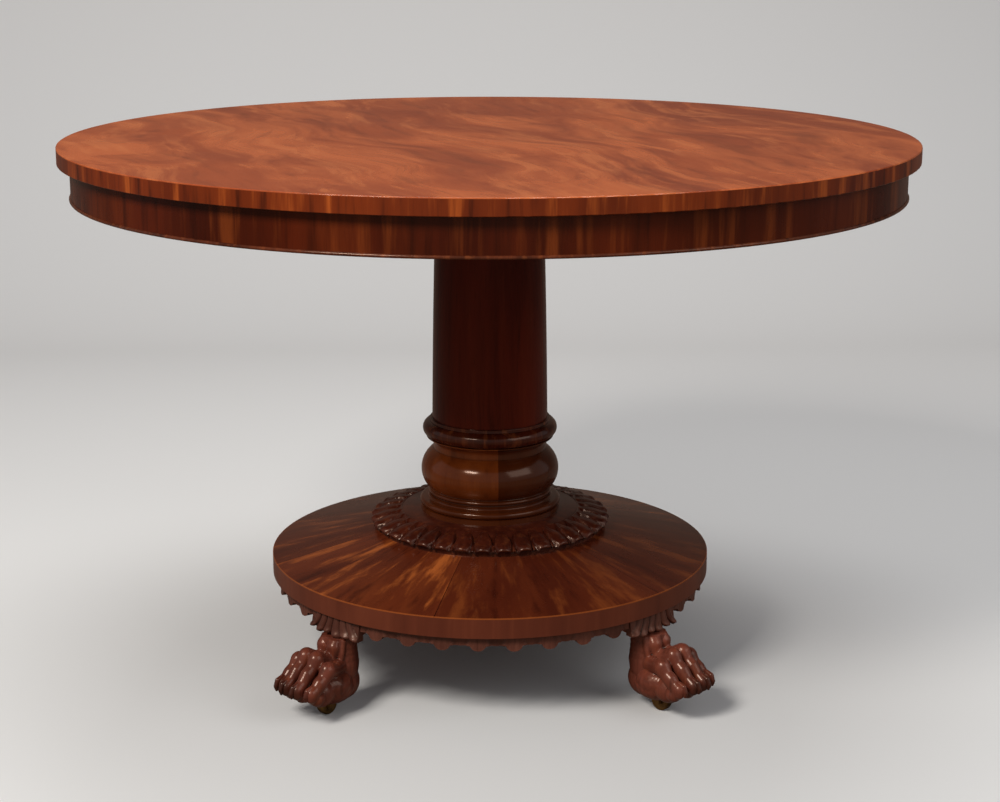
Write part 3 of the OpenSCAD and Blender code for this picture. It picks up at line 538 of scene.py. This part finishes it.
def borderRun(s, n):
    low, high = heights("leaf_border_%d" % n)
    start = 90 * n - 45 + s["half"]
    sweep = 90 - 2 * s["half"]
    pitch = 90 / (s["count"] + 2)
    valleyZ = high - s["valley"]
    inner = s["outR"] - s["thick"]
    outline = [(inner, high), (inner, valleyZ)]
    outline += [(s["outR"], valleyZ + (high - valleyZ) * i / s["rows"]) for i in range(s["rows"] + 1)]
    bm = spinOutline(outline, int(sweep / pitch * s["perLeaf"]), start, sweep, closed=True)

    def leaf(turn, r, z):
        share = (high - z) / (high - valleyZ)
        place = (turn - (90 * n - 45)) / pitch
        own = noise.noise(Vector((math.floor(place) * 2.3, n * 1.9, 0.7)))
        u = place % 1.0 - 0.5
        across = u * pitch * math.pi / 180 * s["outR"]
        hang = 0.0
        reach = abs(across) / (s["pendantR"] * (1 + 0.08 * own))
        if reach < 1:
            hang = math.sqrt(1 - reach ** 2) * s["drop"] * (0.94 + 0.1 * own)
            hang -= s["nicks"] * abs(math.sin(reach * math.pi * 2.5))
        newZ = z - max(0.0, share) ** 1.3 * max(0.0, hang)
        if r < s["outR"] - 1:
            return turn, r, max(newZ, low + s["floor"])
        side = abs(u) / (0.2 + 0.13 * share)
        if side < 1:  # the hanging leaf with its vein and two folds
            lift = s["relief"] * (1 - side ** 2) * (0.3 + 0.7 * share)
            lift -= s["vein"] * ridge(u, 0, s["veinWide"]) + s["fold"] * ridge(side, 0.55, s["foldWide"])
        else:
            lift = -1.1 + 0.7 * math.cos((abs(u) - 0.5) * math.pi * 7) * share
        lift += s["edge"] * ridge(side, 1.0, s["edgeWide"])
        fade = min(1.0, share / 0.12)
        return turn, r + lift * fade - s["setBack"] * fade, max(newZ, low + s["floor"])

    carve(bm, leaf)
    bmesh.ops.recalc_face_normals(bm, faces=bm.faces)
    return finishPiece("leafBorder%d" % n, bm, woods["borderMahogany"], "root",
                       ["leaf_border_%d" % n], 50.0)


def bracketLeaf(s, n):
    low, high = heights("foot_bracket_%d" % n)
    middle = 90 * n - 45
    outline = [(s["inR"], high), (s["inR"], low)]
    outline += [(s["outR"], low + (high - low) * i / s["rows"]) for i in range(s["rows"] + 1)]
    bm = spinOutline(outline, s["steps"], middle - s["half"], 2 * s["half"], closed=True)

    def leaf(turn, r, z):
        u = ((turn - middle + 180) % 360 - 180) / s["half"]
        share = (high - z) / (high - low)
        sway = u / (0.72 + 0.28 * share) + 0.1 * math.sin(2.6 * share + 1.7 * u) * share
        fold = max(i for i in range(6) if i == 0 or sway >= s["edges"][i])
        left, right = s["edges"][fold], s["edges"][fold + 1]
        inside = max(0.0, min(1.0, (sway - left) / (right - left)))
        lobe = math.sin(math.pi * inside)
        shorter = (s["drops"][fold] + s["lobeDrop"] * (1 - lobe) ** 1.5) / (high - low)
        newZ = high - (high - z) * (1 - shorter * share)
        if r < s["outR"] - 1:
            return turn, r, newZ
        lift = -s["groove"] * (1 - lobe ** 0.55) * min(1.0, share / 0.1)
        lift -= s["vein"] * ridge(inside, 0.5, s["veinWide"]) * (1 - share)
        lift += s["curl"] * ridge(share, s["curlAt"], s["curlWide"]) * lobe - s["hollow"] * (1 - share) ** 1.5
        lift -= s["tuck"] * max(0.0, share - 0.93) / 0.07
        return turn, min(r - s["setBack"] + lift, s["outR"] + 1.0), newZ

    carve(bm, leaf)
    bmesh.ops.recalc_face_normals(bm, faces=bm.faces)
    return finishPiece("footBracket%d" % n, bm, woods["borderMahogany"], "root",
                       ["foot_bracket_%d" % n], 50.0)


for n in feet:
    borderRun(border, n)
    bracketLeaf(bracket, n)
print("border and brackets carved")


paw = dict(sole=16.5, ankleTop=104.7, voxel=1.15, clawVoxel=0.7, smooth=2, pocketR=25.8, pocketX=308.0,
           pocketTop=38.5, spigotX=270.0, spigotZ=118, spigotR=20.0, spigotLong=32,
           pads=((290, 23, (26, 25, 26)), (291, 46, (24.5, 26, 34)), (312, 20, (35, 33, 22)),
                 (314, 28, (32, 35, 24)), (322, 29, (24, 33, 22))),
           leg=((291, 0, 66), (291.5, 0, 84), (291, 0, 101)), legR=(26, 24.5, 24),
           sidePad=(339, 14, 24, (21, 19, 20)),
           sinew=((309, 19, 70), (305, 19.5, 86), (301, 18.5, 102)), sinewR=(3.0, 4.2, 4.4),
           knob=((319, 10, 76), (313, 9.6, 84), (309.5, 9.3, 94), (304, 9, 103)), knobR=(6.2, 6.8, 10.2, 8.0),
           toes=((-29.0, True), (-10.2, False), (10.2, False), (29.0, True)),
           outer=((310, 69), (327, 71), (338, 74), (345, 66), (353, 60), (360, 54), (367, 50)),
           inner=((311, 76), (329, 81), (341, 85), (348, 76), (357, 69), (366, 59), (375, 52)),
           fan=(0.6, 0.9, 0.98, 1.0, 1.0, 1.01, 1.02), toeR=(10.8, 9.6, 12.4, 9.6, 10.6, 9.2, 10.2),
           toeFlat=0.86, tips=((-1, -3, (10.6, 8.8, 10)), (-9, -9, (11, 9.4, 10))),
           claw=((0, 8.6), (7.6, 5.4), (11, -1), (10.4, -6.5)), clawR=(3.8, 4.6, 3.8, 2.2), clawFlat=0.8)


def ball(bm, place, size):
    scale = Matrix.Diagonal((*(value * mm for value in size), 1))
    move = Matrix.Translation(Vector(place) * mm)
    bmesh.ops.create_icosphere(bm, subdivisions=3, radius=1.0, matrix=move @ scale)


def strand(bm, points, radii, flat=1.0):
    for a, b, ra, rb in zip(points, points[1:], radii, radii[1:]):
        a, b = Vector(a), Vector(b)
        count = max(2, int((b - a).length / (0.3 * min(ra, rb))))
        for i in range(count + 1):
            share = i / count
            r = ra + (rb - ra) * share
            ball(bm, a.lerp(b, share), (r, r * flat, r))


def pawForm(s):
    bm = bmesh.new()
    for x, rise, size in s["pads"]:
        ball(bm, (x, 0, s["sole"] + rise), size)
    strand(bm, s["leg"], s["legR"])
    for side in (-1, 1):
        x, y, rise, size = s["sidePad"]
        ball(bm, (x, side * y, s["sole"] + rise), size)
        strand(bm, [(x, side * y, z) for x, y, z in s["sinew"]], s["sinewR"])
        strand(bm, [(x, side * y, z) for x, y, z in s["knob"]], s["knobR"])
    for y, outer in s["toes"]:
        path = s["outer"] if outer else s["inner"]
        points = [(x, y * share, z) for (x, z), share in zip(path, s["fan"])]
        strand(bm, points, s["toeR"], s["toeFlat"])
        x, z = path[-1]
        for out, up, size in s["tips"]:
            ball(bm, (x + out, y, z + up), size)
    mesh = bpy.data.meshes.new("pawForm")
    bm.to_mesh(mesh)
    bm.free()
    return mesh


def remeshed(mesh, s):
    shaped = bpy.data.objects.new("pawShape", mesh)
    bpy.context.scene.collection.objects.link(shaped)
    voxels = shaped.modifiers.new("voxels", "REMESH")
    voxels.mode = "VOXEL"
    voxels.voxel_size = s["voxel"] * mm
    soften = shaped.modifiers.new("soften", "SMOOTH")
    soften.factor = 0.5
    soften.iterations = s["smooth"]
    graph = bpy.context.evaluated_depsgraph_get()
    result = bpy.data.meshes.new_from_object(shaped.evaluated_get(graph))
    bpy.data.objects.remove(shaped)
    return result


# Hooked claws that grow out of the toes
def claws(bm, s):
    for y, outer in s["toes"]:
        x, z = (s["outer"] if outer else s["inner"])[-1]
        strand(bm, [(x + out, y, z + up) for out, up in s["claw"]], s["clawR"], s["clawFlat"])


def pawMesh(s):
    body = remeshed(pawForm(s), s)
    bm = bmesh.new()
    claws(bm, s)
    nails = bpy.data.meshes.new("claws")
    bm.to_mesh(nails)
    bm.free()
    nails = remeshed(nails, dict(s, voxel=s["clawVoxel"]))
    bm = bmesh.new()
    bm.from_mesh(body)
    for cut, normal in ((s["sole"], (0, 0, -1)), (s["ankleTop"], (0, 0, 1))):
        whole = bm.verts[:] + bm.edges[:] + bm.faces[:]
        ends = bmesh.ops.bisect_plane(bm, geom=whole, plane_co=(0, 0, cut * mm), plane_no=normal,
                                      clear_outer=True)
        rim = [item for item in ends["geom_cut"] if isinstance(item, bmesh.types.BMEdge)]
        bmesh.ops.holes_fill(bm, edges=rim, sides=0)
    bm.from_mesh(nails)
    bmesh.ops.create_cone(bm, cap_ends=True, segments=48, radius1=s["spigotR"] * mm, radius2=s["spigotR"] * mm,
                          depth=s["spigotLong"] * mm,
                          matrix=Matrix.Translation((s["spigotX"] * mm, 0, s["spigotZ"] * mm)))
    mesh = bpy.data.meshes.new("paw")
    bm.to_mesh(mesh)
    bm.free()
    return mesh


def hollowed(mesh, s):
    cutter = bmesh.new()
    radius = s["pocketR"] * mm
    below = 10  # the cutter starts this far under the floor
    middle = Matrix.Translation((s["pocketX"] * mm, 0, (s["pocketTop"] - below) / 2 * mm))
    bmesh.ops.create_cone(cutter, cap_ends=True, segments=64, radius1=radius, radius2=radius,
                          depth=(s["pocketTop"] + below) * mm, matrix=middle)
    tool = bpy.data.meshes.new("pocket")
    cutter.to_mesh(tool)
    cutter.free()
    toolPiece = bpy.data.objects.new("pocket", tool)
    shaped = bpy.data.objects.new("paw", mesh)
    for item in (toolPiece, shaped):
        bpy.context.scene.collection.objects.link(item)
    cut = shaped.modifiers.new("pocket", "BOOLEAN")
    cut.operation = "DIFFERENCE"
    cut.solver = "FAST"
    cut.object = toolPiece
    graph = bpy.context.evaluated_depsgraph_get()
    result = bpy.data.meshes.new_from_object(shaped.evaluated_get(graph))
    bpy.data.objects.remove(shaped)
    bpy.data.objects.remove(toolPiece)
    return result


pattern = hollowed(pawMesh(paw), paw)
for n in feet:
    bm = bmesh.new()
    bm.from_mesh(pattern)
    turned = Matrix.Rotation(math.radians(90 * n - 45), 3, "Z")
    bmesh.ops.rotate(bm, verts=bm.verts, cent=(0, 0, 0), matrix=turned)
    finishPiece("pawFoot%d" % n, bm, woods["pawMahogany"], "root", ["paw_foot_%d" % n], 70.0)
print("paws carved:", len(pattern.polygons), "faces each")


room = dict(pale=(0.8, 0.79, 0.77), around=(0.2, 0.15, 0.12), bendR=1.2, wallY=3.2, front=-5.0, wide=7.0,
            high=5.0)


# Pale to the camera, quiet in the polish's reflections
def plainSurface(name, pale, around):
    material, tree, shader = newMaterial(name)[:3]
    seen = addNode(tree, "LightPath").outputs["Is Camera Ray"]
    tree.links.new(blendColour(tree, seen, around, pale), shader.inputs["Base Color"])
    shader.inputs["Roughness"].default_value = 0.8
    shader.inputs["Specular IOR Level"].default_value = 0.1
    return material


def backdrop(s):
    bm = bmesh.new()
    outline = [(s["front"], 0.0), (s["wallY"] - s["bendR"], 0.0)]
    outline += arc(s["wallY"] - s["bendR"], s["bendR"], s["bendR"], -90, 0, 24)[1:]
    outline += [(s["wallY"], s["high"])]
    chain = [bm.verts.new((-s["wide"], y, z)) for y, z in outline]
    edges = [bm.edges.new(pair) for pair in zip(chain, chain[1:])]
    wide = bmesh.ops.extrude_edge_only(bm, edges=edges)["geom"]
    moved = [item for item in wide if isinstance(item, bmesh.types.BMVert)]
    bmesh.ops.translate(bm, verts=moved, vec=(2 * s["wide"], 0, 0))
    bmesh.ops.recalc_face_normals(bm, faces=bm.faces)
    mesh = bpy.data.meshes.new("studioSweep")
    bm.to_mesh(mesh)
    bm.free()
    mesh.shade_smooth()
    sweep = bpy.data.objects.new("studioSweep", mesh)
    mesh.materials.append(plainSurface("studioPaper", s["pale"], s["around"]))
    bpy.context.scene.collection.objects.link(sweep)


lamps = {
    "keySoftBox": dict(place=(-1.8, -2.4, 2.8), aim=(0, 0, 0.4), size=(1.2, 1.0), power=105,
                       colour=(1, 0.97, 0.93)),
    "fillSoftBox": dict(place=(2.6, -2.0, 2.2), aim=(0, 0, 0.4), size=(2.6, 2.2), power=26,
                        colour=(0.97, 0.98, 1)),
    "topSoftBox": dict(place=(0.2, 0.8, 3.4), aim=(0, 0, 0.6), size=(2.2, 1.6), power=45, colour=(1, 1, 1)),
}


def softBox(name, s):
    light = bpy.data.lights.new(name, "AREA")
    light.shape = "RECTANGLE"
    light.size, light.size_y = s["size"]
    light.energy = s["power"]
    light.color = s["colour"]
    lamp = bpy.data.objects.new(name, light)
    lamp.location = s["place"]
    lamp.rotation_euler = (Vector(s["aim"]) - Vector(s["place"])).to_track_quat("-Z", "Y").to_euler()
    bpy.context.scene.collection.objects.link(lamp)


backdrop(room)
for name, settings in lamps.items():
    softBox(name, settings)

world = bpy.data.worlds.new("studio")
world.use_nodes = True
world.node_tree.nodes["Background"].inputs["Color"].default_value = (0.9, 0.93, 1.0, 1)
world.node_tree.nodes["Background"].inputs["Strength"].default_value = 0.3
bpy.context.scene.world = world
bpy.context.scene.view_settings.view_transform = "Standard"

view = dict(place=(-0.0711, -2.714, 1.049), pitch=75.98, heading=-1.8, lens=72.0)
camera = bpy.data.cameras.new("camera")
camera.lens = view["lens"]
camera.sensor_width = 36.0
eye = bpy.data.objects.new("camera", camera)
eye.location = view["place"]
eye.rotation_euler = (math.radians(view["pitch"]), 0, math.radians(view["heading"]))
bpy.context.scene.collection.objects.link(eye)
bpy.context.scene.camera = eye

print("scene ready")
